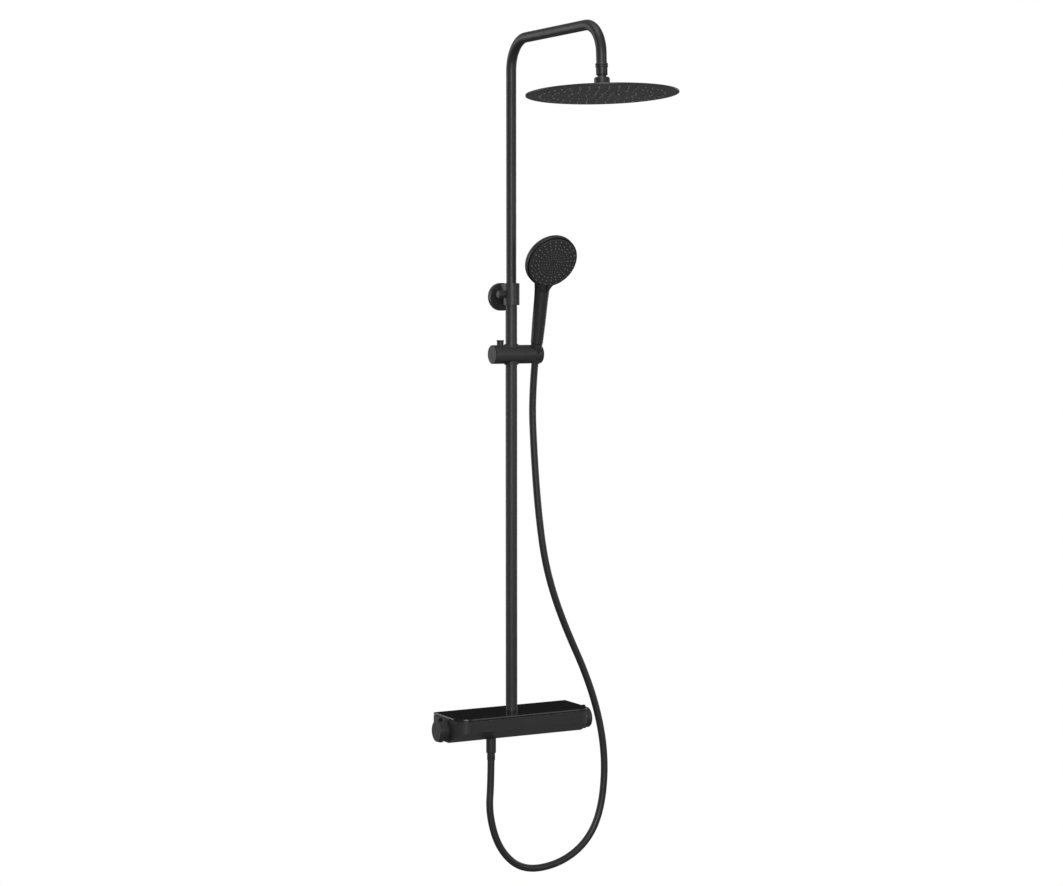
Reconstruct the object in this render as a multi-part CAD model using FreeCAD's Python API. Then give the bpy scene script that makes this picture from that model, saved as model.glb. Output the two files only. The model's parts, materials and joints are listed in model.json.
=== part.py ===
"""Wall-mounted rainfall shower column: thermostatic shelf mixer, telescopic riser with a
bent arm, flat rain head on a ball joint, sliding handset and hose.

Millimetres. The origin is on the wall, midway between the two water inlets.
+X runs right along the wall, +Y into the wall and +Z up.
"""

import FreeCAD, Part
import math
import os

V = FreeCAD.Vector
X, Y, Z = V(1, 0, 0), V(0, 1, 0), V(0, 0, 1)

# ---------------------------------------------------------------- driving dimensions
# riser
PIPE_Y = -42.0  # the riser's axis stands this far in front of the wall
LOWER_R = 10.2
LOWER_WALL = 1.3
UPPER_R = 8.8
UPPER_WALL = 1.2
LOWER_TOP = 767.0
LOWER_FOOT = 0.0
TELESCOPE_OVERLAP = 260.0
ARM_Z = 1193.0  # centre line of the horizontal arm
ARM_CORNER_Y = -349.0  # where the arm's and the drop's centre lines meet
BEND_R = 52.0
DROP_LEAN = 3.0  # degrees, the drop leans away from the wall

# mixer shelf
SHELF_HALF = 132.5
SHELF_DEPTH = 98.0
SHELF_CORNER = 27.0
GLASS_TOP = 22.0
GLASS_THICK = 4.0
GLASS_BEVEL_IN = 0.5  # the polished bevel round the glass
GLASS_BEVEL_DOWN = 2.0
PAD_THICK = 1.2
BODY_BOTTOM = -23.2
UNDERCUT_Z = -2.0  # the front's lower slope starts here
UNDERCUT_DEPTH = 40.0
SHELL_WALL = 2.8
VALVE_Y = -48.0
VALVE_Z = -3.0
VALVE_R = 12.4
INLET_SPACING = 150.0
INLET_R = 9.32  # G 1/2 thread's minor radius
UNION_R = 12.4
OUTLET_X = -44.0

# knobs
KNOB_R = 18.2
KNOB_INNER = 133.6
KNOB_OUTER = 151.6
SPINDLE_R = 3.0
BUTTON_X = 143.0
BUTTON_R = 3.4
BUTTON_RISE = 4.2

# wall bracket
BRACKET_Z0 = 734.5
BRACKET_Z1 = 772.7
FLANGE_Z = 749.0
FLANGE_R = 24.4
FLANGE_DEPTH = 11.0
SCREW_SPACING = 26.0
NECK_Z0 = 748.0
NECK_Z1 = 771.0
SADDLE_R = 12.6
HUB_Z = 757.0
LOCK_Z = 753.2
LOCK_R = 6.8

# slider, holder and handset
SLIDER_Z = 648.5
SLIDER_R = 16.4
SLIDER_X0 = -38.5
SLIDER_X1 = 20.0
HOLDER_X1 = 57.2
SLIDER_BUTTON_X = -22.0
AXLE_R = 3.9
COLLAR_R = 12.4
COLLAR_HALF = 18.0
LINER_R = 11.2
HANDSET_X = 45.0
HANDLE_Y = -48.4  # the handle's axis where it passes the slider
HANDLE_LEAN = 11.55
FACE_CENTRE = V(HANDSET_X, -112.0, 806.3)
FACE_DOWN = 28.5  # degrees the handset's face looks down
HANDSET_R = 47.6
HANDSET_PLATE_R = 43.5

# rain head
BALL_DROP = 96.3  # from the arm's corner to the ball's centre, along the drop
BALL_R = 9.6
SEAT_R = 10.3
SEAL_R = 11.0
HEAD_R = 125.0
HEAD_RIM = 2.0
HEAD_BELOW_BALL = 20.9
CAP_BORE_R = 12.0
HEAD_RINGS = [(14.6, 6), (27.5, 12), (55.0, 20), (81.0, 32), (102.0, 40)]

# hose
HOSE_R = 6.25
HOSE_ROUTE = [
    V(45.0, -50.2, 657.3),
    V(45.0, -34.0, 578.0),
    V(49.7, -33.0, 478.0),
    V(57.2, -35.0, 372.0),
    V(70.3, -38.0, 272.0),
    V(100.9, -41.0, 178.0),
    V(161.5, -44.0, 52.0),
    V(189.3, -46.5, -62.0),
    V(183.0, -49.0, -163.0),
    V(152.5, -52.0, -226.0),
    V(92.0, -55.0, -261.5),
    V(16.5, -56.0, -265.5),
    V(-30.6, -54.0, -224.5),
    V(-50.4, -51.0, -158.0),
    V(OUTLET_X, VALVE_Y, -98.0),
    V(OUTLET_X, VALVE_Y, -33.0),
]
RUN_SHARE = 0.45  # share of the shorter run that each bend takes

RUNNING = 0.06  # radial clearance of a shaft that turns or slides
FREE = 0.3  # clearance between pieces that only pass each other


# ---------------------------------------------------------------- shape helpers
def rod(radius, length, base, along=Z):
    return Part.makeCylinder(radius, length, base, along)


def ring(outer, inner, length, base, along=Z):
    over = along * 1.0
    bore = rod(inner, length + 2.0, base - over, along)
    return rod(outer, length, base, along).cut(bore)


def block(x0, x1, y0, y1, z0, z1):
    return Part.makeBox(x1 - x0, y1 - y0, z1 - z0, V(x0, y0, z0))


def turned(profile):
    """A solid of revolution about Z from closed (radius, height) corners."""
    wire = Part.makePolygon([V(r, 0, h) for r, h in profile + profile[:1]])
    return Part.Face(wire).revolve(V(0, 0, 0), Z, 360.0)


def placed(shape, base, along):
    """Moves a shape built up the Z axis so that it stands on base and points along."""
    moved = shape.copy()
    turn = FreeCAD.Rotation(Z, along)
    moved.Placement = FreeCAD.Placement(base, turn).multiply(moved.Placement)
    return moved


def fused(shapes):
    whole = shapes[0]
    for other in shapes[1:]:
        whole = whole.fuse(other)
    return whole.removeSplitter()


def group(shapes):
    return Part.makeCompound(shapes)


def coil_spring(radius, wire_r, height, turns, base):
    helix = Part.makeHelix(height / turns, height, radius)
    start = V(radius, 0, 0)
    section = Part.Wire(Part.makeCircle(wire_r, start, Y))
    spring = Part.Wire(helix).makePipeShell([section], True, True)
    spring.translate(base)
    return spring


def pitch_circle(radius, count, phase=0.0):
    step = 2 * math.pi / count
    turns = [phase + step * i for i in range(count)]
    return [V(radius * math.cos(a), radius * math.sin(a), 0) for a in turns]


# ---------------------------------------------------------------- mixer shelf
def shelf_plan(inset, z0, z1):
    """The shelf's outline, drawn in by inset at the front and ends, from z0 to z1."""
    half = SHELF_HALF - inset
    front = -SHELF_DEPTH + inset
    r = SHELF_CORNER - inset
    bow = r * math.sin(math.pi / 4)
    left = V(-half + r - bow, front + r - bow, z0)
    right = V(half - r + bow, front + r - bow, z0)
    edges = [
        Part.LineSegment(V(-half, 0, z0), V(-half, front + r, z0)).toShape(),
        Part.Arc(V(-half, front + r, z0), left, V(-half + r, front, z0)).toShape(),
        Part.LineSegment(V(-half + r, front, z0), V(half - r, front, z0)).toShape(),
        Part.Arc(V(half - r, front, z0), right, V(half, front + r, z0)).toShape(),
        Part.LineSegment(V(half, front + r, z0), V(half, 0, z0)).toShape(),
        Part.LineSegment(V(half, 0, z0), V(-half, 0, z0)).toShape(),
    ]
    return Part.Face(Part.Wire(edges)).extrude(Z * (z1 - z0))


def undercut(inset):
    """The wedge that slopes the front's lower part back to the underside."""
    front = -SHELF_DEPTH + inset
    slope = math.atan2(UNDERCUT_DEPTH, UNDERCUT_Z - BODY_BOTTOM)
    shift = inset * (1 - math.cos(slope)) / math.sin(slope)
    top = UNDERCUT_Z + shift
    low = BODY_BOTTOM - 10.0
    run = (top - low) * math.tan(slope)
    points = [V(-200, front, top), V(-200, front + run, low), V(-200, front - 30, low)]
    points += [V(-200, front - 30, top), points[0]]
    return Part.Face(Part.makePolygon(points)).extrude(X * 400)


def housing_cover():
    top = GLASS_TOP - GLASS_THICK - PAD_THICK
    outer = shelf_plan(0.0, BODY_BOTTOM, top).cut(undercut(0.0))
    inner = shelf_plan(SHELL_WALL, BODY_BOTTOM + SHELL_WALL, top - SHELL_WALL)
    inner = inner.fuse(inner.translated(Y * 5)).cut(undercut(SHELL_WALL))
    shell = outer.cut(inner)
    end_holes = rod(12.0, 300, V(-150, VALVE_Y, VALVE_Z), X)
    pipe_hole = rod(LOWER_R + FREE, 20, V(0, PIPE_Y, 8))
    outlet_hole = rod(9.3, 20, V(OUTLET_X, VALVE_Y, BODY_BOTTOM - 10))
    screw_holes = [rod(1.5, 6, at - Z * 1.0) for at in screw_places()]
    return shell.cut([end_holes, pipe_hole, outlet_hole, *screw_holes])


def glass_shelf():
    z0 = GLASS_TOP - GLASS_THICK
    plate = shelf_plan(0.0, z0, GLASS_TOP)
    rim = [e for e in plate.Edges if e.BoundBox.ZMin > GLASS_TOP - 0.01]
    plate = plate.makeChamfer(GLASS_BEVEL_DOWN, GLASS_BEVEL_IN, rim)
    return plate.cut(rod(LOWER_R + 0.15, 20, V(0, PIPE_Y, z0 - 5)))


def shelf_pad():
    z0 = GLASS_TOP - GLASS_THICK - PAD_THICK
    pad = shelf_plan(2.5, z0, z0 + PAD_THICK)
    return pad.cut(rod(14.0, 10, V(0, PIPE_Y, z0 - 5)))


def inlets():
    return [V(side * INLET_SPACING / 2, 0, 0) for side in (-1, 1)]


def back_plate():
    half = SHELF_HALF - SHELL_WALL - FREE
    low = BODY_BOTTOM + SHELL_WALL + FREE
    high = GLASS_TOP - GLASS_THICK - PAD_THICK - SHELL_WALL - FREE
    plate = block(-half, half, -4, 0, low, high)
    for at in inlets():
        plate = plate.cut(rod(UNION_R + 0.2, 10, at - Y * 6, Y))
    return plate


def valve_body():
    half = 112.0
    axis = V(0, VALVE_Y, VALVE_Z)
    solids = [rod(VALVE_R, 2 * half, axis - X * half, X)]
    solids.append(rod(13.2, 12.0, V(0, PIPE_Y, -2.0)))
    solids.append(rod(9.0, 15.0, V(OUTLET_X, VALVE_Y, -16.8)))
    solids.append(rod(7.0, 15.0, V(OUTLET_X, VALVE_Y, -29.0)))
    solids += [rod(10.0, 30.0, at - Y * 48, Y) for at in inlets()]
    body = fused(solids)
    for side in (-1, 1):
        body = body.cut(rod(9.5, 60, axis + X * (side * 61.5), X * side))
    body = body.cut(rod(4.5, 200, axis - X * 100, X))
    body = body.cut(rod(LOWER_R + 0.05, 20, V(0, PIPE_Y, LOWER_FOOT)))
    body = body.cut(rod(6.0, 10, V(0, PIPE_Y, -5)))
    body = body.cut(rod(5.6, 30, V(OUTLET_X, VALVE_Y, -32)))
    for at in inlets():
        body = body.cut(rod(6.5, 30, at - Y * 46, Y))
    return body


def inlet_unions():
    unions = []
    for at in inlets():
        sleeve = ring(UNION_R, INLET_R, 14, at - Y * 15, Y)
        flange = ring(UNION_R, 6.5, 3, at - Y * 18, Y)
        unions.append(sleeve.fuse(flange))
    return group(unions)


def inlet_filters():
    return group([ring(6.4, 3.0, 2, at - Y * 17.5, Y) for at in inlets()])


def inlet_check_valves():
    return group([ring(6.2, 2.5, 12, at - Y * 32, Y) for at in inlets()])


def cartridge(side):
    """A cartridge that fills one end of the valve body; its spindle comes out of the end."""
    axis = V(0, VALVE_Y, VALVE_Z)
    out = X * side
    barrel = rod(9.3, 50, axis + out * 62, out)
    collar = rod(11.0, 6, axis + out * 112.05, out)
    bore = rod(SPINDLE_R + RUNNING, 20, axis + out * 108, out)
    return barrel.fuse(collar).fuse(rod(9.3, 1, axis + out * 111.5, out)).cut(bore)


def riser_union_nut():
    hexagon = Part.makePolygon([*pitch_circle(15.2, 6), pitch_circle(15.2, 6)[0]])
    nut = Part.Face(hexagon).extrude(Z * 3.6)
    nut = nut.translated(V(0, PIPE_Y, 10.1))
    return nut.cut(rod(LOWER_R + 0.1, 20, V(0, PIPE_Y, 0)))


def riser_pipe():
    length = LOWER_TOP - LOWER_FOOT
    return ring(LOWER_R, LOWER_R - LOWER_WALL, length, V(0, PIPE_Y, LOWER_FOOT))


def screw_places():
    return [V(side * 100, -2.2, BODY_BOTTOM + 0.3) for side in (-1, 1)]


def cover_screws():
    return group([rod(1.4, 2.6, at) for at in screw_places()])


# ---------------------------------------------------------------- knobs
def knob(side):
    """A grip turned about X, with a pocket for its stop button and a finger lug below."""
    end = KNOB_OUTER - KNOB_INNER
    profile = [
        (0, 0), (17.4, 0), (KNOB_R, 0.8), (KNOB_R, end - 1.3), (17.8, end - 0.4),
        (17.1, end), (16.6, end - 0.3), (0, end - 0.3),
    ]
    grip = placed(turned(profile), V(side * KNOB_INNER, VALVE_Y, VALVE_Z), X * side)
    bottom = VALVE_Z - KNOB_R
    centre = side * BUTTON_X
    lug = block(centre - 3, centre + 3, VALVE_Y - 3.2, VALVE_Y + 3.2, bottom - 1.1, bottom + 3)
    grip = grip.fuse(lug)
    recess = rod(13.8, 4.0, V(side * (KNOB_INNER - 0.01), VALVE_Y, VALVE_Z), X * side)
    socket = rod(SPINDLE_R + 0.02, 10, V(side * 131, VALVE_Y, VALVE_Z), X * side)
    pocket = rod(BUTTON_R + 0.3, 30, V(centre, VALVE_Y, VALVE_Z + 6))
    return grip.cut(recess).cut(socket).cut(pocket)


def spindle(side):
    return rod(SPINDLE_R, 30, V(side * 110, VALVE_Y, VALVE_Z), X * side)


def stop_ring(side):
    base = V(side * (KNOB_INNER + 0.2), VALVE_Y, VALVE_Z)
    disc = ring(13.5, SPINDLE_R + 0.05, 3.6, base, X * side)
    notch = block(-200, 200, VALVE_Y - 2, VALVE_Y + 2, VALVE_Z - 14, VALVE_Z - 10)
    return disc.cut(notch)


def knob_button(side):
    low = VALVE_Z + 10.5
    high = VALVE_Z + KNOB_R + BUTTON_RISE
    at = V(side * BUTTON_X, VALVE_Y, low)
    cap = rod(BUTTON_R, high - low, at)
    edge = [e for e in cap.Edges if e.BoundBox.ZMin > high - 0.01]
    return cap.makeFillet(0.6, edge)


def knob_spring(side):
    at = V(side * BUTTON_X, VALVE_Y, VALVE_Z + 6.45)
    return coil_spring(2.2, 0.35, 3.6, 3, at)


# ---------------------------------------------------------------- wall bracket
def bracket_collar():
    """A clamp open at the back, with a saddle round the pipe where the neck joins it."""
    height = BRACKET_Z1 - BRACKET_Z0
    nose = rod(13.5, height, V(0, PIPE_Y - 2, BRACKET_Z0))
    cheeks = block(-13.5, 13.5, PIPE_Y - 2, PIPE_Y + 3, BRACKET_Z0, BRACKET_Z1)
    saddle = rod(SADDLE_R, BRACKET_Z1 - NECK_Z0, V(0, PIPE_Y, NECK_Z0))
    collar = fused([nose, cheeks, saddle])
    collar = collar.cut(rod(LOWER_R + 0.1, 50, V(0, PIPE_Y, BRACKET_Z0 - 5)))
    collar = collar.cut(rod(11.6, 20, V(0, PIPE_Y, LOWER_TOP + 0.2)))
    return collar.cut(rod(SPINDLE_R + RUNNING, 30, V(-40, PIPE_Y, LOCK_Z), X))


def telescope_gland():
    base = V(0, PIPE_Y, LOWER_TOP + 0.3)
    return ring(11.5, UPPER_R + RUNNING, 5.0, base)


def bracket_neck():
    web = block(-8, 8, PIPE_Y, PIPE_Y + 25, NECK_Z0, NECK_Z1)
    edges = [e for e in web.Edges if abs(e.tangentAt(e.FirstParameter).z) > 0.9]
    web = web.makeFillet(1.5, edges)
    web = web.cut(rod(SADDLE_R + 0.02, 60, V(0, PIPE_Y, NECK_Z0 - 10)))
    hub = rod(6.5, 13.4, V(0, PIPE_Y + 25, HUB_Z), Y)
    return web.fuse(hub)


def wall_flange():
    base = V(0, 0, FLANGE_Z)
    cup = rod(FLANGE_R, FLANGE_DEPTH, base, -Y)
    front = [e for e in cup.Edges if e.BoundBox.YMax < -FLANGE_DEPTH + 0.01]
    cup = cup.makeFillet(1.2, front)
    cup = cup.cut(rod(FLANGE_R - 2, FLANGE_DEPTH - 2.4, base, -Y))
    return cup.cut(rod(6.6, 40, V(0, -30, HUB_Z), Y))


def bracket_wall_plate():
    plate = rod(21.0, 3.5, V(0, 0, FLANGE_Z), -Y)
    for side in (-1, 1):
        hole = V(side * SCREW_SPACING / 2, -10, FLANGE_Z)
        plate = plate.cut(rod(2.6, 20, hole, Y))
    return plate


def bracket_knob():
    out = -X
    base = V(-14.0, PIPE_Y, LOCK_Z)
    profile = [(0, 0), (5.6, 0), (LOCK_R, 1.2), (LOCK_R, 11.6), (5.9, 12.5), (0, 12.5)]
    grip = placed(turned(profile), base, out)
    stem = rod(SPINDLE_R, 3.6, base, X)
    return grip.fuse(stem)


# ---------------------------------------------------------------- riser and arm
def telescope_guide():
    foot = LOWER_TOP - TELESCOPE_OVERLAP
    bush = rod(LOWER_R - LOWER_WALL - RUNNING, 24, V(0, PIPE_Y, foot - 24.3))
    spigot = rod(UPPER_R - UPPER_WALL - RUNNING, 14, V(0, PIPE_Y, foot - 1))
    bush = bush.fuse(spigot).cut(rod(5.5, 60, V(0, PIPE_Y, foot - 30)))
    for rise in (6.0, 16.0):
        groove = ring(12.0, 7.9, 2.2, V(0, PIPE_Y, foot - 24.3 + rise))
        bush = bush.cut(groove)
    return bush


def telescope_seals():
    foot = LOWER_TOP - TELESCOPE_OVERLAP
    seals = []
    for rise in (6.1, 16.1):
        at = V(0, PIPE_Y, foot - 24.3 + rise)
        seals.append(ring(8.82, 7.95, 2.0, at))
    return group(seals)


DROP = V(0, -math.sin(math.radians(DROP_LEAN)), -math.cos(math.radians(DROP_LEAN)))
ARM_CORNER = V(0, ARM_CORNER_Y, ARM_Z)
BALL = ARM_CORNER + DROP * BALL_DROP
DROP_END = 78.0  # the tube's end, measured from the arm's corner


def bent_tube_path(points, radii):
    """Straight runs joined by tangent arcs of the given radii at the inner points."""
    edges = []
    start = points[0]
    for i in range(1, len(points) - 1):
        before, after = points[i - 1] - points[i], points[i + 1] - points[i]
        before.normalize()
        after.normalize()
        half_turn = (math.pi - before.getAngle(after)) / 2
        reach = radii[i - 1] * math.tan(half_turn)
        middle = before + after
        middle.normalize()
        centre = points[i] + middle * (radii[i - 1] / math.cos(half_turn))
        arc_in, arc_out = points[i] + before * reach, points[i] + after * reach
        edges.append(Part.LineSegment(start, arc_in).toShape())
        arc_middle = centre - middle * radii[i - 1]
        edges.append(Part.Arc(arc_in, arc_middle, arc_out).toShape())
        start = arc_out
    edges.append(Part.LineSegment(start, points[-1]).toShape())
    return Part.Wire(edges)


def swept(path, radius, start, along):
    section = Part.Wire(Part.makeCircle(radius, start, along))
    return path.makePipeShell([section], True, False)


def arm_pipe():
    foot = V(0, PIPE_Y, LOWER_TOP - TELESCOPE_OVERLAP)
    top = V(0, PIPE_Y, ARM_Z)
    points = [foot, top, ARM_CORNER, ARM_CORNER + DROP * DROP_END]
    path = bent_tube_path(points, [BEND_R, BEND_R])
    outside = swept(path, UPPER_R, foot, Z)
    inside = swept(path, UPPER_R - UPPER_WALL, foot, Z)
    return outside.cut(inside)


def arm_ferrule():
    """The sleeve on the drop's end: two beads above a plain barrel."""
    bore = UPPER_R + 0.03
    profile = [
        (bore, 0), (10.0, 0), (10.4, 0.6), (10.4, 2.4), (9.7, 3.0), (10.4, 3.6),
        (10.4, 6.0), (9.5, 6.6), (9.5, 18.4), (9.2, 18.8), (7.5, 18.8),
        (7.5, 11.4), (bore, 11.4),
    ]
    return placed(turned(profile), ARM_CORNER + DROP * 67.0, DROP)


def ball_stem():
    """The ball, its neck and the flange that the ferrule holds."""
    neck = rod(7.4, 10.2, BALL - DROP * 17.0, DROP)
    spigot = rod(7.3, 7.0, BALL - DROP * 17.8, DROP)
    ball = Part.makeSphere(BALL_R, BALL)
    stem = fused([neck, spigot, ball])
    return stem.cut(rod(4.0, 60, BALL - DROP * 30, DROP))


# ---------------------------------------------------------------- rain head
def head_frame(shape):
    """From the head's own frame (ball at the origin, +Z up the drop) to the column's."""
    return placed(shape, BALL, -DROP)


def ball_shell(outer, inner, low, high):
    """Part of a hollow sphere round the ball, so that it can turn any way in its neighbours."""
    ball = Part.makeSphere(outer).cut(Part.makeSphere(inner))
    return head_frame(ball.common(block(-20, 20, -20, 20, low, high)))


def ball_seat():
    return ball_shell(SEAT_R, BALL_R + RUNNING, -9.0, -1.5)


def ball_seal():
    return ball_shell(SEAL_R, SEAT_R + RUNNING, -3.0, 3.0)


def head_cap_nut():
    profile = [
        (12.9, -9.4), (12.9, 4.6), (11.5, 6.6), (9.6, 6.6), (9.6, -4.2), (CAP_BORE_R, -4.2),
        (CAP_BORE_R, -9.4),
    ]
    return head_frame(turned(profile).cut(Part.makeSphere(SEAL_R + RUNNING)))


def head_top_shell():
    """The thin upper shell, dished up to the socket that carries the ball joint."""
    low = -HEAD_BELOW_BALL
    socket = CAP_BORE_R - 0.1
    profile = [
        (HEAD_R, low + 0.8), (HEAD_R, low + HEAD_RIM), (60, low + 4.6), (18, low + 6.4),
        (socket, low + 6.8), (socket, -4.5), (6.0, -4.5), (6.0, low + 5.2), (18, low + 5.0),
        (60, low + 3.4), (HEAD_R - 5, low + 0.8),
    ]
    return head_frame(turned(profile).cut(Part.makeSphere(SEAL_R + RUNNING)))


def head_nozzle_places():
    places = []
    for i, (radius, count) in enumerate(HEAD_RINGS):
        places += pitch_circle(radius, count, 0.13 * i)
    return places


def head_face_plate():
    low = -HEAD_BELOW_BALL
    plate = rod(HEAD_R - 0.1, 0.75, V(0, 0, low))
    holes = [rod(1.75, 4, at + Z * (low - 2)) for at in head_nozzle_places()]
    return head_frame(plate.cut(group(holes)))


def head_nozzle_mat():
    low = -HEAD_BELOW_BALL
    mat = rod(104.6, 0.6, V(0, 0, low + 0.8))
    bore = []
    for at in head_nozzle_places():
        root = rod(1.7, 1.3, at + Z * (low - 0.4))
        tip = Part.makeCone(0.9, 1.7, 2.4, at + Z * (low - 2.8))
        bore.append(root.fuse(tip))
    return head_frame(mat.fuse(bore).removeSplitter())


def head_filter():
    low = -HEAD_BELOW_BALL + 6.0
    return head_frame(rod(5.9, 1.6, V(0, 0, low)))


# ---------------------------------------------------------------- slider and holder
def slider_body():
    length = SLIDER_X1 - 0.15 - (SLIDER_X0 + 2.6)
    axis = V(SLIDER_X0 + 2.6, PIPE_Y, SLIDER_Z)
    body = rod(SLIDER_R, length, axis, X)
    body = body.fuse(rod(COLLAR_R, 2 * COLLAR_HALF, V(0, PIPE_Y, SLIDER_Z - COLLAR_HALF)))
    seam = [e for e in body.Edges if on_collar(e)]
    body = body.makeFillet(2.2, seam)
    body = body.cut(rod(LINER_R + 0.1, 60, V(0, PIPE_Y, SLIDER_Z - 30)))
    body = body.cut(rod(7.0, 32, axis - X, X))
    button = V(SLIDER_BUTTON_X, PIPE_Y, SLIDER_Z)
    body = body.cut(rod(6.3, 30, button)).cut(rod(4.8, 20, button - Z * 7.2))
    return body.cut(rod(AXLE_R + RUNNING, 20, V(SLIDER_X1 - 5, PIPE_Y, SLIDER_Z), X))


def on_collar(edge):
    """Whether an edge is the seam between the slider's barrel and its upright collar."""
    box = edge.BoundBox
    wide = box.XMax - box.XMin > 1.9 * COLLAR_R
    return wide and box.XMax < COLLAR_R + 0.1 and box.ZMax - box.ZMin > 1.0


def slider_end_cap():
    profile = [(0, 0), (SLIDER_R, 0), (SLIDER_R, 1.9), (SLIDER_R - 0.7, 2.55), (0, 2.55)]
    return placed(turned(profile), V(SLIDER_X0 + 2.55, PIPE_Y, SLIDER_Z), -X)


def slider_liner():
    liner = ring(LINER_R, LOWER_R + RUNNING, 34, V(0, PIPE_Y, SLIDER_Z - 17))
    return liner.cut(rod(6.9, 20, V(-20, PIPE_Y, SLIDER_Z), X))


def slider_brake_shoe():
    shoe = rod(6.6, 7.0, V(-17.4, PIPE_Y, SLIDER_Z), X)
    return shoe.cut(rod(LOWER_R + RUNNING, 40, V(0, PIPE_Y, SLIDER_Z - 20)))


def slider_button():
    at = V(SLIDER_BUTTON_X, PIPE_Y, SLIDER_Z)
    profile = [
        (0, 3.0), (2.8, 3.0), (2.8, 9.5), (5.9, 9.5), (5.9, 22.4), (6.5, 23.2),
        (6.5, 25.0), (0, 25.0),
    ]
    return placed(turned(profile), at, Z)


def slider_spring():
    return coil_spring(3.8, 0.5, 14.8, 6, V(SLIDER_BUTTON_X, PIPE_Y, SLIDER_Z - 6.2))


LEAN = math.radians(HANDLE_LEAN)
UP_HANDLE = V(0, -math.sin(LEAN), math.cos(LEAN))
HANDLE_FOOT = V(HANDSET_X, HANDLE_Y, SLIDER_Z)


def along_handle(u):
    return HANDLE_FOOT + UP_HANDLE * u


def nut_radius(u):
    """The hose's cone nut, and with a gap the holder's cone, at height u on the handle's axis."""
    return 8.6 + 0.045 * (u + 16.0)


def handset_holder():
    start = SLIDER_X1 + 0.15
    length = HOLDER_X1 - start
    holder = rod(SLIDER_R, length, V(start, PIPE_Y, SLIDER_Z), X)
    rim = [e for e in holder.Edges if e.BoundBox.XMin > HOLDER_X1 - 0.01]
    holder = holder.makeFillet(1.2, rim)
    low, high = -26.0, 26.0
    gap = FREE + 0.05
    cone = Part.makeCone(nut_radius(low) + gap, nut_radius(high) + gap, high - low)
    holder = holder.cut(placed(cone, along_handle(low), UP_HANDLE))
    half = HOSE_R + 0.5
    slot = block(HANDSET_X - half, HANDSET_X + half, HANDLE_Y + 2, 0, SLIDER_Z - 30, SLIDER_Z + 30)
    holder = holder.cut(slot)
    return holder.cut(rod(AXLE_R + 0.02, 7.0, V(start - 1, PIPE_Y, SLIDER_Z), X))


def holder_axle():
    return rod(AXLE_R, 10.0, V(SLIDER_X1 - 4.5, PIPE_Y, SLIDER_Z), X)


def hose_cone_nut():
    low, high = -16.0, 18.6
    cone = Part.makeCone(nut_radius(low), nut_radius(high), high - low)
    nut = placed(cone, along_handle(low), UP_HANDLE)
    hose_bore = rod(HOSE_R + 0.25, 26.5, along_handle(low - 1), UP_HANDLE)
    thread = rod(8.2 + RUNNING, 9.0, along_handle(11.0), UP_HANDLE)
    return nut.cut(hose_bore).cut(rod(3.5, 60, along_handle(-20), UP_HANDLE)).cut(thread)


# ---------------------------------------------------------------- handset
FACE_OUT = V(0, -math.cos(math.radians(FACE_DOWN)), -math.sin(math.radians(FACE_DOWN)))


def face_frame(shape):
    """From the face's own frame (+Z out of the face, nozzle tips at 0) to the column's."""
    moved = shape.copy()
    turn = FreeCAD.Rotation(X, V(0, 1, 0), FACE_OUT, "ZXY")
    moved.Placement = FreeCAD.Placement(FACE_CENTRE, turn).multiply(moved.Placement)
    return moved


def handset_shell():
    head = [
        (0, -4.6), (HANDSET_R - 0.8, -4.6), (HANDSET_R - 0.2, -5.4), (HANDSET_R + 0.4, -14.5),
        (44.5, -19.5), (36.0, -23.5), (20.0, -26.0), (0, -26.6),
    ]
    head_solid = face_frame(turned(head))
    grip = placed(Part.makeCone(10.75, 11.9, 42.0), along_handle(18.9), UP_HANDLE)
    upper = placed(Part.makeCone(11.9, 12.6, 45.0), along_handle(60.9), UP_HANDLE)
    neck_dir = V(0, -0.42, 0.91)
    low_ring = Part.Wire(Part.makeCircle(12.6, along_handle(105.9), UP_HANDLE))
    high_ring = Part.Wire(Part.makeCircle(13.4, V(HANDSET_X, -86.0, 790.0), neck_dir))
    neck = Part.makeLoft([low_ring, high_ring], True, False)
    shell = fused([grip, upper, neck, head_solid])
    chamber = face_frame(rod(42.0, 12.0, V(0, 0, -18.5)))
    mouth = face_frame(rod(44.4, 6.0, V(0, 0, -9.0)))
    mouth = mouth.fuse(face_frame(rod(46.3, 14.0, V(0, 0, -8.0))))
    duct = rod(6.6, 115, along_handle(17), UP_HANDLE)
    thread = rod(8.4, 5.0, along_handle(18.8), UP_HANDLE)
    return shell.cut(chamber).cut(mouth).cut(duct).cut(thread)


def handset_bezel():
    profile = [
        (44.3, -8.8), (44.3, -7.9), (45.2, -7.9), (45.2, -3.4), (44.7, -2.4), (43.6, -1.9),
        (43.6, -8.8),
    ]
    return face_frame(turned(profile))


HANDSET_LARGE = [(41.0, 24), (34.3, 24), (28.0, 24)]
HANDSET_SMALL = [(21.9, 24), (17.3, 20), (12.5, 16), (7.9, 10)]


def handset_nozzle_places(rings):
    places = []
    for radius, count in rings:
        places += pitch_circle(radius, count, math.pi / count)
    return places


def handset_face_plate():
    plate = rod(HANDSET_PLATE_R, 2.6, V(0, 0, -4.4))
    large = [rod(1.15, 9, at - Z * 8) for at in handset_nozzle_places(HANDSET_LARGE)]
    small = [rod(0.75, 9, at - Z * 8) for at in handset_nozzle_places(HANDSET_SMALL)]
    return face_frame(plate.cut(group(large + small)))


def handset_nozzle_mat():
    mat = rod(43.2, 1.2, V(0, 0, -5.65))
    stubs = []
    for at in handset_nozzle_places(HANDSET_LARGE):
        stubs.append(Part.makeCone(1.1, 0.85, 5.2, at - Z * 5.0))
    for at in handset_nozzle_places(HANDSET_SMALL):
        stubs.append(Part.makeCone(0.7, 0.5, 4.6, at - Z * 5.0))
    return face_frame(mat.fuse(stubs).removeSplitter())


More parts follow.
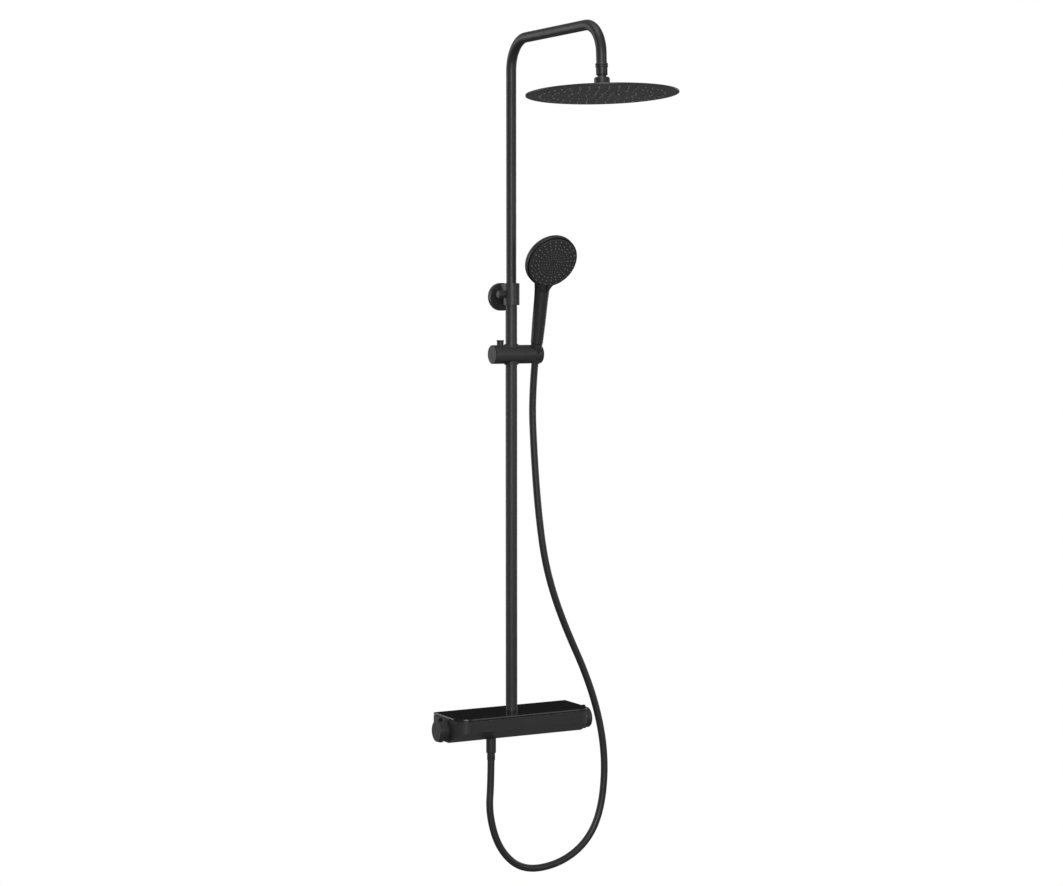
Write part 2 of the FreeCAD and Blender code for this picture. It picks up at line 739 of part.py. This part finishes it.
def handset_waterway():
    """The tube inside the handle and its threaded end, which takes the hose's cone nut."""
    tube = rod(6.3, 100.0, along_handle(20.0), UP_HANDLE)
    end = rod(8.2, 9.6, along_handle(13.1), UP_HANDLE)
    return tube.fuse(end).cut(rod(4.6, 120, along_handle(10), UP_HANDLE))


def handset_washer():
    return ring(8.1, 4.0, 1.9, along_handle(11.1), UP_HANDLE)


# ---------------------------------------------------------------- hose
def bend_radii(points):
    radii = []
    for i in range(1, len(points) - 1):
        before, after = points[i - 1] - points[i], points[i + 1] - points[i]
        half_turn = (math.pi - before.getAngle(after)) / 2
        shorter = min(before.Length, after.Length)
        radii.append(RUN_SHARE * shorter / math.tan(half_turn))
    return radii


def shower_hose():
    radii = bend_radii(HOSE_ROUTE)
    path = bent_tube_path(HOSE_ROUTE, radii)
    start = HOSE_ROUTE[0]
    hose = swept(path, HOSE_R, start, HOSE_ROUTE[1] - start)
    expected = math.pi * HOSE_R**2 * path.Length
    print("hose length", round(path.Length, 1), "volume ratio", round(hose.Volume / expected, 5))
    print("hose bend radii", [round(r) for r in radii])
    return hose


def hose_outlet_nut():
    """The nut and ferrule at the hose's lower end, with heights from the inlets' level."""
    bore = HOSE_R + 0.1
    profile = [
        (7.15, -17.2), (8.65, -17.2), (8.65, -49.2), (8.1, -50.0), (7.0, -50.4), (6.8, -51.4),
        (7.05, -53.0), (7.05, -61.0), (6.8, -63.0), (bore, -63.0), (bore, -31.3), (7.15, -31.3),
    ]
    return turned(profile).translated(V(OUTLET_X, VALVE_Y, 0))


def outlet_washer():
    return ring(6.9, 4.0, 1.9, V(OUTLET_X, VALVE_Y, -31.1))


def outlet_check_valve():
    return ring(5.4, 2.5, 12.0, V(OUTLET_X, VALVE_Y, -28.5))


PARTS = {
    "housing_cover": housing_cover,
    "glass_shelf": glass_shelf,
    "shelf_pad": shelf_pad,
    "back_plate": back_plate,
    "valve_body": valve_body,
    "inlet_unions": inlet_unions,
    "inlet_filters": inlet_filters,
    "inlet_check_valves": inlet_check_valves,
    "thermostat_cartridge": lambda: cartridge(1),
    "flow_cartridge": lambda: cartridge(-1),
    "riser_union_nut": riser_union_nut,
    "riser_pipe": riser_pipe,
    "cover_screws": cover_screws,
    "temperature_knob": lambda: knob(1),
    "thermostat_spindle": lambda: spindle(1),
    "temperature_stop_ring": lambda: stop_ring(1),
    "temperature_button": lambda: knob_button(1),
    "temperature_button_spring": lambda: knob_spring(1),
    "flow_knob": lambda: knob(-1),
    "flow_spindle": lambda: spindle(-1),
    "flow_stop_ring": lambda: stop_ring(-1),
    "flow_button": lambda: knob_button(-1),
    "flow_button_spring": lambda: knob_spring(-1),
    "bracket_collar": bracket_collar,
    "telescope_gland": telescope_gland,
    "bracket_neck": bracket_neck,
    "wall_flange": wall_flange,
    "bracket_wall_plate": bracket_wall_plate,
    "bracket_knob": bracket_knob,
    "telescope_guide": telescope_guide,
    "telescope_seals": telescope_seals,
    "arm_pipe": arm_pipe,
    "arm_ferrule": arm_ferrule,
    "ball_stem": ball_stem,
    "ball_seat": ball_seat,
    "ball_seal": ball_seal,
    "head_cap_nut": head_cap_nut,
    "head_top_shell": head_top_shell,
    "head_face_plate": head_face_plate,
    "head_nozzle_mat": head_nozzle_mat,
    "head_filter": head_filter,
    "slider_body": slider_body,
    "slider_end_cap": slider_end_cap,
    "slider_liner": slider_liner,
    "slider_brake_shoe": slider_brake_shoe,
    "slider_button": slider_button,
    "slider_spring": slider_spring,
    "handset_holder": handset_holder,
    "holder_axle": holder_axle,
    "hose_cone_nut": hose_cone_nut,
    "handset_washer": handset_washer,
    "handset_shell": handset_shell,
    "handset_bezel": handset_bezel,
    "handset_face_plate": handset_face_plate,
    "handset_nozzle_mat": handset_nozzle_mat,
    "handset_waterway": handset_waterway,
    "shower_hose": shower_hose,
    "hose_outlet_nut": hose_outlet_nut,
    "outlet_washer": outlet_washer,
    "outlet_check_valve": outlet_check_valve,
}

os.makedirs("parts", exist_ok=True)
for node, make in PARTS.items():
    shape = make()
    if not shape.isValid() or shape.Volume <= 0:
        print("bad solid:", node, shape.isValid(), shape.Volume)
    shape.exportStep(f"parts/{node}.step")
    print(node, len(shape.Solids), round(shape.Volume, 1))
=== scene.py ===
"""Looks for the wall-mounted rainfall shower column: camera, hose, coats and fine pieces."""

import json
import math

import bpy
import numpy as np
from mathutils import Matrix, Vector


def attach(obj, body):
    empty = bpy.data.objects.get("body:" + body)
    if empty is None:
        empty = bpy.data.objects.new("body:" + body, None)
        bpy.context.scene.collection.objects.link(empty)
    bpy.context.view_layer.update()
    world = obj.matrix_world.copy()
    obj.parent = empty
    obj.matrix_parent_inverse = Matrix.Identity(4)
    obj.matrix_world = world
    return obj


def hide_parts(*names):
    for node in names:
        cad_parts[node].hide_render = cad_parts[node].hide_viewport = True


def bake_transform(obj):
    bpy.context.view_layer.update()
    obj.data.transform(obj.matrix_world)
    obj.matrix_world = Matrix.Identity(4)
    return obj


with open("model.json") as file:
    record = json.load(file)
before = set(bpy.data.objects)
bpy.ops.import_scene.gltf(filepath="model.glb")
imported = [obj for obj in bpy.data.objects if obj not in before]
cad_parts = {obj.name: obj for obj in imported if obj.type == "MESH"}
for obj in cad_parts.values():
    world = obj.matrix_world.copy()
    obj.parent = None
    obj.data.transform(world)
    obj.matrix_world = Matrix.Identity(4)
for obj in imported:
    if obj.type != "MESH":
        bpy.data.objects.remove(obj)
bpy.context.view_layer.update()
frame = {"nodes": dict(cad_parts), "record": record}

MM = 0.001

# ---------------------------------------------------------------- camera
CAMERA_AT = Vector((-1.9434, -3.6725, 0.7407))
CAMERA_TURN = math.radians(28.65)
CAMERA_DIP = math.radians(3.44)
LENS_MM = 79.70
SENSOR_MM = 36.0
VIEW_REACH = 100.0


def make_camera():
    data = bpy.data.cameras.new("camera")
    data.lens = LENS_MM
    data.sensor_width = SENSOR_MM
    data.clip_end = VIEW_REACH
    camera = bpy.data.objects.new("camera", data)
    bpy.context.collection.objects.link(camera)
    level = math.cos(CAMERA_DIP)
    look = Vector((
        math.sin(CAMERA_TURN) * level,
        math.cos(CAMERA_TURN) * level,
        -math.sin(CAMERA_DIP),
    ))
    camera.location = CAMERA_AT
    camera.rotation_euler = look.to_track_quat("-Z", "Y").to_euler()
    bpy.context.scene.camera = camera


make_camera()

# ---------------------------------------------------------------- materials
BLACK = (0.021, 0.021, 0.022)
BLACK_PLASTIC = (0.021, 0.021, 0.0215)
HOSE_BLACK = (0.026, 0.026, 0.0265)
RUBBER_GREY = (0.15, 0.15, 0.15)
# the black glass's own colour, also used as painted shade in recesses
GLASS_AND_SHADE_BLACK = (0.004, 0.004, 0.0045)
HIDDEN_GREY = (0.1, 0.1, 0.1)
BRASS = (0.55, 0.38, 0.16)
STEEL = (0.42, 0.42, 0.42)

# sockets of the colour mix node, which shares its socket names between kinds
MIX_FACTOR, MIX_FIRST, MIX_SECOND, MIX_COLOUR_OUT = 0, 6, 7, 2


class Nodes:
    """A short way to add and join shader nodes in one material."""

    def __init__(self, name):
        self.material = bpy.data.materials.new(name)
        self.material.use_nodes = True
        self.tree = self.material.node_tree
        self.shader = self.tree.nodes["Principled BSDF"]
        coords = self.add("ShaderNodeTexCoord")
        self.place = coords.outputs["Object"]

    def add(self, kind, **settings):
        node = self.tree.nodes.new(kind)
        for key, value in settings.items():
            setattr(node, key, value)
        return node

    def join(self, source, target):
        self.tree.links.new(source, target)

    def noise(self, scale, detail=3.0, roughness=0.55, stretch=None):
        node = self.add("ShaderNodeTexNoise")
        node.inputs["Scale"].default_value = scale
        node.inputs["Detail"].default_value = detail
        node.inputs["Roughness"].default_value = roughness
        place = self.place
        if stretch:
            mapping = self.add("ShaderNodeMapping")
            mapping.inputs["Scale"].default_value = stretch
            self.join(self.place, mapping.inputs["Vector"])
            place = mapping.outputs["Vector"]
        self.join(place, node.inputs["Vector"])
        return node.outputs["Fac"]

    def spread(self, source, low, high, from_low=0.3, from_high=0.7):
        node = self.add("ShaderNodeMapRange")
        values = (from_low, from_high, low, high)
        for key, value in zip(("From Min", "From Max", "To Min", "To Max"), values):
            node.inputs[key].default_value = value
        self.join(source, node.inputs["Value"])
        return node.outputs["Result"]

    def blend(self, factor, first, second):
        node = self.add("ShaderNodeMix", data_type="RGBA")
        for place, value in ((MIX_FIRST, first), (MIX_SECOND, second)):
            if isinstance(value, tuple):
                node.inputs[place].default_value = (*value, 1.0)
            else:
                self.join(value, node.inputs[place])
        self.join(factor, node.inputs[MIX_FACTOR])
        return node.outputs[MIX_COLOUR_OUT]

    def bump(self, height, strength, distance):
        node = self.add("ShaderNodeBump")
        node.inputs["Strength"].default_value = strength
        node.inputs["Distance"].default_value = distance
        self.join(height, node.inputs["Height"])
        self.feed("Normal", node.outputs["Normal"])

    def feed(self, key, source):
        self.join(source, self.shader.inputs[key])

    def set(self, key, value):
        self.shader.inputs[key].default_value = value

    def edge_wear(self, amount):
        """Nought on flat places, up to amount along outward edges."""
        geometry = self.add("ShaderNodeNewGeometry")
        return self.spread(geometry.outputs["Pointiness"], 0.0, amount, 0.52, 0.62)


def shaded(colour, gain):
    return tuple(channel * gain for channel in colour)


def coat(name, colour, rough, grain, depth, specular=0.35, wear=0.35):
    """A fine-grained coat or moulding: grain and depth are its texture's sizes in metres."""
    m = Nodes(name)
    patches = m.noise(9.0, 4.0)
    fine = m.noise(1.0 / grain, 2.0, 0.6)
    tone = m.spread(patches, 0.0, 1.0)
    base = m.blend(tone, shaded(colour, 0.9), shaded(colour, 1.1))
    m.feed("Base Color", m.blend(m.edge_wear(wear), base, shaded(colour, 2.6)))
    smears = m.noise(38.0, 5.0, 0.65)
    m.feed("Roughness", m.spread(smears, rough - 0.045, rough + 0.045))
    m.bump(fine, 0.35, depth)
    m.set("Specular IOR Level", specular)
    return m.material


def glass_coat(name, colour, smooth, dull, edge, specular):
    """Polished glass with faint dried water marks.

    Its flat top runs from smooth to dull roughness, and its sides and bevel from that to edge.
    """
    m = Nodes(name)
    marks = m.noise(70.0, 6.0, 0.7)
    haze = m.noise(11.0, 3.0)
    m.feed("Base Color", m.blend(m.spread(haze, 0.0, 1.0), colour, shaded(colour, 1.5)))
    geometry = m.add("ShaderNodeNewGeometry")
    split = m.add("ShaderNodeSeparateXYZ")
    m.join(geometry.outputs["True Normal"], split.inputs[0])
    ground = m.spread(split.outputs["Z"], edge, 0.0, 0.4, 0.95)
    rougher = m.add("ShaderNodeMath", operation="MAXIMUM")
    m.join(ground, rougher.inputs[0])
    m.join(m.spread(marks, smooth, dull), rougher.inputs[1])
    m.feed("Roughness", rougher.outputs[0])
    m.bump(haze, 0.02, 0.0001)
    m.set("Specular IOR Level", specular)
    return m.material


def brushed(name, colour, rough):
    """Turned or brushed bare metal."""
    m = Nodes(name)
    lines = m.noise(900.0, 2.0, 0.5, stretch=(1.0, 1.0, 0.04))
    cloud = m.noise(30.0, 4.0)
    m.feed("Base Color", m.blend(m.spread(cloud, 0.0, 1.0), shaded(colour, 0.85), colour))
    m.feed("Roughness", m.spread(lines, rough - 0.08, rough + 0.08))
    m.bump(lines, 0.15, 0.00005)
    m.set("Metallic", 1.0)
    return m.material


COATS = {
    "satin_black_metal": coat("powder_coat", BLACK, 0.42, 0.0007, 0.00006),
    "black_plastic": coat("black_moulding", BLACK_PLASTIC, 0.46, 0.0005, 0.00004),
    "inner_plastic": coat("dark_moulding", HIDDEN_GREY, 0.5, 0.0006, 0.00004),
    "black_hose": coat("hose_skin", HOSE_BLACK, 0.4, 0.0009, 0.00003, wear=0.0),
    "black_rubber": coat("silicone", RUBBER_GREY, 0.6, 0.0004, 0.00003),
    "black_glass": glass_coat("black_glass", GLASS_AND_SHADE_BLACK, 0.02, 0.05, 0.3, 0.5),
    # painted shade: a near-black coat that darkens the neck's slot and the stop buttons, where
    # shade falls
    "shadow_gap": coat("painted_recess_shade", GLASS_AND_SHADE_BLACK, 0.6, 0.0005, 0.00003, specular=0.15,
                       wear=0.0),
    "brass": brushed("brass", BRASS, 0.35),
    "steel": brushed("steel", STEEL, 0.32),
}
SLOT_OF = {p["node"]: p["material_slot"] for p in frame["record"]["subparts"]}
# the stop buttons get painted shade: the near-black coat of the gaps that they sit in
PAINTED_SHADE_BUTTONS = ("temperature_button", "flow_button")


def dress(thing, slot):
    thing.data.materials.clear()
    thing.data.materials.append(COATS[slot])


def dress_cad_nodes():
    for node, thing in frame["nodes"].items():
        # painted shade on the stop buttons instead of their own finish
        finish = COATS["shadow_gap" if node in PAINTED_SHADE_BUTTONS else SLOT_OF[node]]
        for socket in thing.material_slots:
            socket.material = finish


dress_cad_nodes()

# ---------------------------------------------------------------- mesh helpers


def new_piece(name, verts, faces, slot, body=None):
    mesh = bpy.data.meshes.new(name)
    mesh.from_pydata([tuple(v) for v in verts], [], faces)
    for polygon in mesh.polygons:
        polygon.use_smooth = True
    mesh.update()
    piece = bpy.data.objects.new(name, mesh)
    bpy.context.collection.objects.link(piece)
    dress(piece, slot)
    if body:
        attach(piece, body)
    return piece


def loft_faces(rings, around, close_ends=True):
    faces = []
    for i in range(rings - 1):
        for k in range(around):
            n = (k + 1) % around
            a, b = i * around, (i + 1) * around
            faces.append((a + k, a + n, b + n, b + k))
    if close_ends:
        faces.append(tuple(reversed(range(around))))
        faces.append(tuple((rings - 1) * around + k for k in range(around)))
    return faces


# ---------------------------------------------------------------- hose
HOSE_R = 6.25 * MM
HOSE_SIDES = 28
HOSE_STEPS = 14
# from the handset's nut, round the loop, to the mixer's outlet nut, in millimetres
HOSE_ROUTE = [Vector(p) * MM for p in (
    (45.0, -50.2, 657.3),
    (45.0, -34.0, 578.0),
    (49.7, -33.0, 478.0),
    (57.2, -35.0, 372.0),
    (70.3, -38.0, 272.0),
    (100.9, -41.0, 178.0),
    (161.5, -44.0, 52.0),
    (189.3, -46.5, -62.0),
    (183.0, -49.0, -163.0),
    (152.5, -52.0, -226.0),
    (92.0, -55.0, -261.5),
    (16.5, -56.0, -265.5),
    (-30.6, -54.0, -224.5),
    (-50.4, -51.0, -158.0),
    (-44.0, -48.0, -98.0),
    (-44.0, -48.0, -33.0),
)]


def spline_points(route, name):
    """Points along the smooth curve that has the route's points as its controls."""
    data = bpy.data.curves.new(name, "CURVE")
    data.dimensions = "3D"
    data.resolution_u = HOSE_STEPS
    spline = data.splines.new("NURBS")
    spline.points.add(len(route) - 1)
    for point, at in zip(spline.points, route):
        point.co = (*at, 1.0)
    spline.order_u = 3
    spline.use_endpoint_u = True
    carrier = bpy.data.objects.new(name, data)
    bpy.context.collection.objects.link(carrier)
    bpy.context.view_layer.update()
    depsgraph = bpy.context.evaluated_depsgraph_get()
    line = bpy.data.meshes.new_from_object(carrier.evaluated_get(depsgraph))
    points = [v.co.copy() for v in line.vertices]
    bpy.data.meshes.remove(line)
    bpy.data.objects.remove(carrier)
    bpy.data.curves.remove(data)
    return points


def tube_along(name, points, radius, around, slot):
    """A round tube whose rings turn as little as they can along the points."""
    verts = []
    side = Vector((1, 0, 0))
    last = len(points) - 1
    for i, at in enumerate(points):
        along = (points[min(i + 1, last)] - points[max(i - 1, 0)]).normalized()
        side = (side - along * side.dot(along)).normalized()
        other = along.cross(side)
        for k in range(around):
            turn = 2 * math.pi * k / around
            out = side * (math.cos(turn) * radius) + other * (math.sin(turn) * radius)
            verts.append(at + out)
    return new_piece(name, verts, loft_faces(len(points), around), slot)


def make_hose():
    points = spline_points(HOSE_ROUTE, "hose_line")
    hose = tube_along("hose_tube", points, HOSE_R, HOSE_SIDES, "black_hose")
    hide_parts("shower_hose")
    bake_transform(hose)


make_hose()

# ---------------------------------------------------------------- handset, in millimetres
HANDSET_X = 45.0
ACROSS = np.array((1.0, 0.0, 0.0))
LEAN = math.radians(11.55)
UP_HANDLE = np.array((0.0, -math.sin(LEAN), math.cos(LEAN)))
HANDLE_FOOT = np.array((HANDSET_X, -48.4, 648.5))
FACE_CENTRE = np.array((HANDSET_X, -112.0, 806.3))
FACE_DOWN = math.radians(28.5)
FACE_BACK = np.array((0.0, math.cos(FACE_DOWN), math.sin(FACE_DOWN)))
FACE_UP = np.array((0.0, -math.sin(FACE_DOWN), math.cos(FACE_DOWN)))
HANDLE_START = 18.9
HANDLE_END = 128.0
# places along the handle, and its radius at each
HANDLE_RADII = (
    (HANDLE_START, 20.3, 40.0, 61.0, 96.0, 111.0, HANDLE_END),
    (9.7, 10.75, 11.35, 11.9, 12.3, 12.9, 13.4),
)
HEAD_R = 47.9
# depths behind the nozzle tips: the skin's front, the rim's end, and the dome's own height
HEAD_FRONT = 8.6
HEAD_WAIST = 13.0
HEAD_DOME = 11.5
HEAD_SPINE = 14.5
FRONT_FILLET = 1.2
NECK_FILLET = 13.0
# the neck's slot: its run along the handle, and its middle and half width at the run's ends
SLOT_RUN = (113.5, 134.0)
SLOT_MIDDLE = (46.9, 43.2)
SLOT_HALF = (0.5, 2.3)
SLOT_DEPTH = 2.6
SLOT_FRONT = 12.0
SUNK = 0.5
SKIN_SIDES = 200
SKIN_REACH = 62.0
SKIN_HALVINGS = 34
RIM_SIDES = 160


def smooth_min(a, b, reach):
    h = np.clip(0.5 + 0.5 * (b - a) / reach, 0.0, 1.0)
    return b + (a - b) * h - reach * h * (1.0 - h)


def handle_distance(points):
    rel = points - HANDLE_FOOT
    u = rel @ UP_HANDLE
    held = np.clip(u, HANDLE_START, HANDLE_END)
    away = np.linalg.norm(rel - held[..., None] * UP_HANDLE, axis=-1)
    return away - np.interp(held, *HANDLE_RADII)


def head_distance(points):
    """Roughly the distance to a disc with a straight rim, a flat front and a domed back."""
    rel = points - FACE_CENTRE
    depth = rel @ FACE_BACK
    in_plane = np.linalg.norm(rel - depth[..., None] * FACE_BACK, axis=-1)
    behind = np.maximum(depth - HEAD_WAIST, 0.0)
    k0 = np.sqrt((in_plane / HEAD_R) ** 2 + (behind / HEAD_DOME) ** 2)
    k1 = np.sqrt((in_plane / HEAD_R**2) ** 2 + (behind / HEAD_DOME**2) ** 2)
    dome = k0 * (k0 - 1.0) / np.maximum(k1, 1e-6)
    return -smooth_min(-dome, depth - HEAD_FRONT, FRONT_FILLET)


def uncut_distance(points):
    return smooth_min(handle_distance(points), head_distance(points), NECK_FILLET)


def handset_distance(points):
    """The handset with the wedge-shaped slot that narrows down the front of its neck."""
    body = uncut_distance(points)
    u = (points - HANDLE_FOOT) @ UP_HANDLE
    middle = np.interp(u, SLOT_RUN, SLOT_MIDDLE)
    half = np.interp(u, SLOT_RUN, SLOT_HALF)
    beside = np.abs(points[..., 0] - middle) - half
    beyond = np.abs(u - sum(SLOT_RUN) / 2) - (SLOT_RUN[1] - SLOT_RUN[0]) / 2
    behind = (points - FACE_CENTRE) @ FACE_BACK - SLOT_FRONT
    slot = np.maximum.reduce([beside, beyond, behind, -(body + SLOT_DEPTH)])
    return np.maximum(body, -slot)


def handset_spine():
    """Centres and section normals from the handle's foot to the head's top."""
    head_mid = FACE_CENTRE + FACE_BACK * HEAD_SPINE
    bottom, top = -30.0, HEAD_R - 0.35
    handle = [HANDLE_FOOT + UP_HANDLE * u for u in np.linspace(HANDLE_START + 0.01, 98.0, 34)]
    handle[1:1] = [HANDLE_FOOT + UP_HANDLE * u for u in (19.35, 19.8, 20.3)]
    start, end = handle[-1], head_mid + FACE_UP * bottom
    reach = np.linalg.norm(end - start) / 3
    bend = []
    for t in np.linspace(0.0, 1.0, 72)[1:]:
        a, b, c, d = (1 - t) ** 3, 3 * t * (1 - t) ** 2, 3 * t * t * (1 - t), t**3
        leave, arrive = start + UP_HANDLE * reach, end - FACE_UP * reach
        bend.append(a * start + b * leave + c * arrive + d * end)
    rise = []
    for t in np.linspace(0.0, 1.0, 46)[1:]:
        turn = math.asin(bottom / HEAD_R) * (1 - t) + math.asin(top / HEAD_R) * t
        rise.append(head_mid + FACE_UP * (HEAD_R * math.sin(turn)))
    centres = np.array(handle + bend + rise)
    normals = np.gradient(centres, axis=0)
    normals /= np.linalg.norm(normals, axis=1)[:, None]
    return centres, normals


def make_handset_skin():
    """Rings round the spine, each point found by halving between the spine and SKIN_REACH."""
    centres, normals = handset_spine()
    turns = np.linspace(0.0, 2 * math.pi, SKIN_SIDES, endpoint=False)[None, :, None]
    front = np.cross(normals, ACROSS)
    rays = np.cos(turns) * ACROSS + np.sin(turns) * front[:, None, :]
    near = np.zeros(rays.shape[:2])
    far = np.full(rays.shape[:2], SKIN_REACH)
    for _ in range(SKIN_HALVINGS):
        middle = (near + far) / 2
        inside = handset_distance(centres[:, None, :] + rays * middle[..., None]) < 0
        near = np.where(inside, middle, near)
        far = np.where(inside, far, middle)
    verts = (centres[:, None, :] + rays * near[..., None]).reshape(-1, 3) * MM
    faces = loft_faces(len(centres), SKIN_SIDES)
    skin = new_piece("handset_skin", verts, faces, "black_plastic", "handset")
    # painted shade: the faces sunk into the neck's slot get the near-black coat
    skin.data.materials.append(COATS["shadow_gap"])
    middles = np.array([polygon.center for polygon in skin.data.polygons]) / MM
    for polygon, sunk in zip(skin.data.polygons, uncut_distance(middles)):
        if sunk < -SUNK and polygon.loop_total == 4:
            polygon.material_index = 1
    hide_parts("handset_shell")


# (radius, depth behind the nozzle tips) of the rim that stands round the spray plate
RIM_PROFILE = (
    (45.6, 9.2), (46.5, 8.6), (46.55, 5.4), (46.75, 4.9), (47.1, 4.6), (47.5, 4.75),
    (47.8, 5.2), (47.9, 6.0), (47.93, 9.0), (47.3, 10.2),
)


def face_point(radius, turn, depth):
    """A point of the handset's face, in metres, from polar places on it."""
    flat = ACROSS * math.cos(turn) + FACE_UP * math.sin(turn)
    return (FACE_CENTRE + flat * radius + FACE_BACK * depth) * MM


def make_handset_rim():
    verts = []
    for radius, depth in RIM_PROFILE:
        for k in range(RIM_SIDES):
            verts.append(face_point(radius, 2 * math.pi * k / RIM_SIDES, depth))
    faces = loft_faces(len(RIM_PROFILE), RIM_SIDES, close_ends=False)
    new_piece("handset_rim", verts, faces, "black_plastic", "handset")


make_handset_skin()
make_handset_rim()

# ---------------------------------------------------------------- edges of the solids
BEVEL_STEPS = 2
BEVEL_FROM = math.radians(32)
# bevel width of each node's sharp edges, in millimetres
ROUND = {
    "housing_cover": 0.5, "riser_pipe": 0.25, "bracket_collar": 0.4, "bracket_neck": 0.3,
    "wall_flange": 0.3, "bracket_knob": 0.3, "arm_ferrule": 0.2, "head_cap_nut": 0.3,
    "head_face_plate": 0.15, "head_top_shell": 0.15, "hose_outlet_nut": 0.25,
    "hose_cone_nut": 0.3, "temperature_knob": 0.3, "flow_knob": 0.3, "slider_body": 0.35,
    "slider_end_cap": 0.3, "handset_holder": 0.35, "slider_button": 0.3,
    "telescope_gland": 0.25, "handset_bezel": 0.2, "handset_face_plate": 0.2,
}


def round_edges():
    for node, width in ROUND.items():
        edge = frame["nodes"][node].modifiers.new("edge", "BEVEL")
        edge.width = width * MM
        edge.segments = BEVEL_STEPS
        edge.limit_method = "ANGLE"
        edge.angle_limit = BEVEL_FROM
        edge.use_clamp_overlap = True
        edge.harden_normals = False


# ---------------------------------------------------------------- studio
FLOOR_Z = -0.52
FLOOR_REACH = 60.0
FLOOR_SEEN = 1.0
FLOOR_GLOW = 0.17


def two_faced(tree, lit, seen):
    """Mixes two shaders: seen for what the camera looks at, lit for what lights the object."""
    mix = tree.nodes.new("ShaderNodeMixShader")
    path = tree.nodes.new("ShaderNodeLightPath")
    tree.links.new(path.outputs["Is Camera Ray"], mix.inputs[0])
    tree.links.new(lit.outputs[0], mix.inputs[1])
    tree.links.new(seen.outputs[0], mix.inputs[2])
    return mix.outputs[0]


def make_floor():
    corners = ((-1, -1), (1, -1), (1, 1), (-1, 1))
    verts = [(x * FLOOR_REACH, y * FLOOR_REACH, FLOOR_Z) for x, y in corners]
    mesh = bpy.data.meshes.new("floor")
    mesh.from_pydata(verts, [], [(0, 1, 2, 3)])
    floor = bpy.data.objects.new("floor", mesh)
    bpy.context.collection.objects.link(floor)
    material = bpy.data.materials.new("pale_floor")
    material.use_nodes = True
    tree = material.node_tree
    tree.nodes.clear()
    glow = []
    for strength in (FLOOR_GLOW, FLOOR_SEEN):
        node = tree.nodes.new("ShaderNodeEmission")
        node.inputs["Strength"].default_value = strength
        glow.append(node)
    output = tree.nodes.new("ShaderNodeOutputMaterial")
    tree.links.new(two_faced(tree, *glow), output.inputs["Surface"])
    mesh.materials.append(material)


def area_light(name, at, towards, width, height, power):
    data = bpy.data.lights.new(name, "AREA")
    data.shape = "RECTANGLE"
    data.size = width
    data.size_y = height
    data.energy = power
    light = bpy.data.objects.new(name, data)
    bpy.context.collection.objects.link(light)
    light.location = at
    look = Vector(towards) - Vector(at)
    light.rotation_euler = look.to_track_quat("-Z", "Y").to_euler()


# sine of the elevation, and how bright the studio is there
SKY = ((0.0, 0.012), (0.22, 0.026), (0.5, 0.25), (0.75, 0.34), (1.0, 0.34))


def make_world():
    world = bpy.data.worlds.new("studio")
    bpy.context.scene.world = world
    world.use_nodes = True
    tree = world.node_tree
    tree.nodes.clear()
    output = tree.nodes.new("ShaderNodeOutputWorld")
    coords = tree.nodes.new("ShaderNodeTexCoord")
    split = tree.nodes.new("ShaderNodeSeparateXYZ")
    ramp = tree.nodes.new("ShaderNodeValToRGB")
    tree.links.new(coords.outputs["Generated"], split.inputs[0])
    tree.links.new(split.outputs["Z"], ramp.inputs["Fac"])
    stops = ramp.color_ramp.elements
    for i, (place, grey) in enumerate(SKY):
        stop = stops[i] if i < 2 else stops.new(place)
        stop.position = place
        stop.color = (grey, grey, grey, 1.0)
    lit = tree.nodes.new("ShaderNodeBackground")
    seen = tree.nodes.new("ShaderNodeBackground")
    tree.links.new(ramp.outputs["Color"], lit.inputs["Color"])
    seen.inputs["Color"].default_value = (1.0, 1.0, 1.0, 1.0)
    tree.links.new(two_faced(tree, lit, seen), output.inputs["Surface"])


MIDDLE = (0.0, -0.1, 0.45)
UPPER = (0.0, -0.1, 0.8)
# name, place, what it points at, width and height in metres, and power in watts
LIGHTS = (
    ("key", (-1.8, -4.0, 1.3), MIDDLE, 1.5, 2.6, 106.0),
    ("back_left", (-2.4, 3.0, 1.1), UPPER, 1.6, 3.2, 45.0),
    ("left", (-3.4, -0.8, 0.5), MIDDLE, 1.6, 1.6, 3.0),
    ("right", (3.0, -1.0, 0.4), MIDDLE, 1.8, 1.6, 6.0),
    ("side", (3.0, 1.4, 0.9), MIDDLE, 1.4, 2.2, 20.0),
    ("top", (-0.6, -0.6, 3.4), MIDDLE, 1.6, 1.6, 28.0),
    ("fill", (1.9, -3.3, 1.0), MIDDLE, 1.6, 1.6, 16.0),
)

round_edges()
make_floor()
make_world()
for light in LIGHTS:
    area_light(*light)
bpy.context.scene.view_settings.view_transform = "Standard"
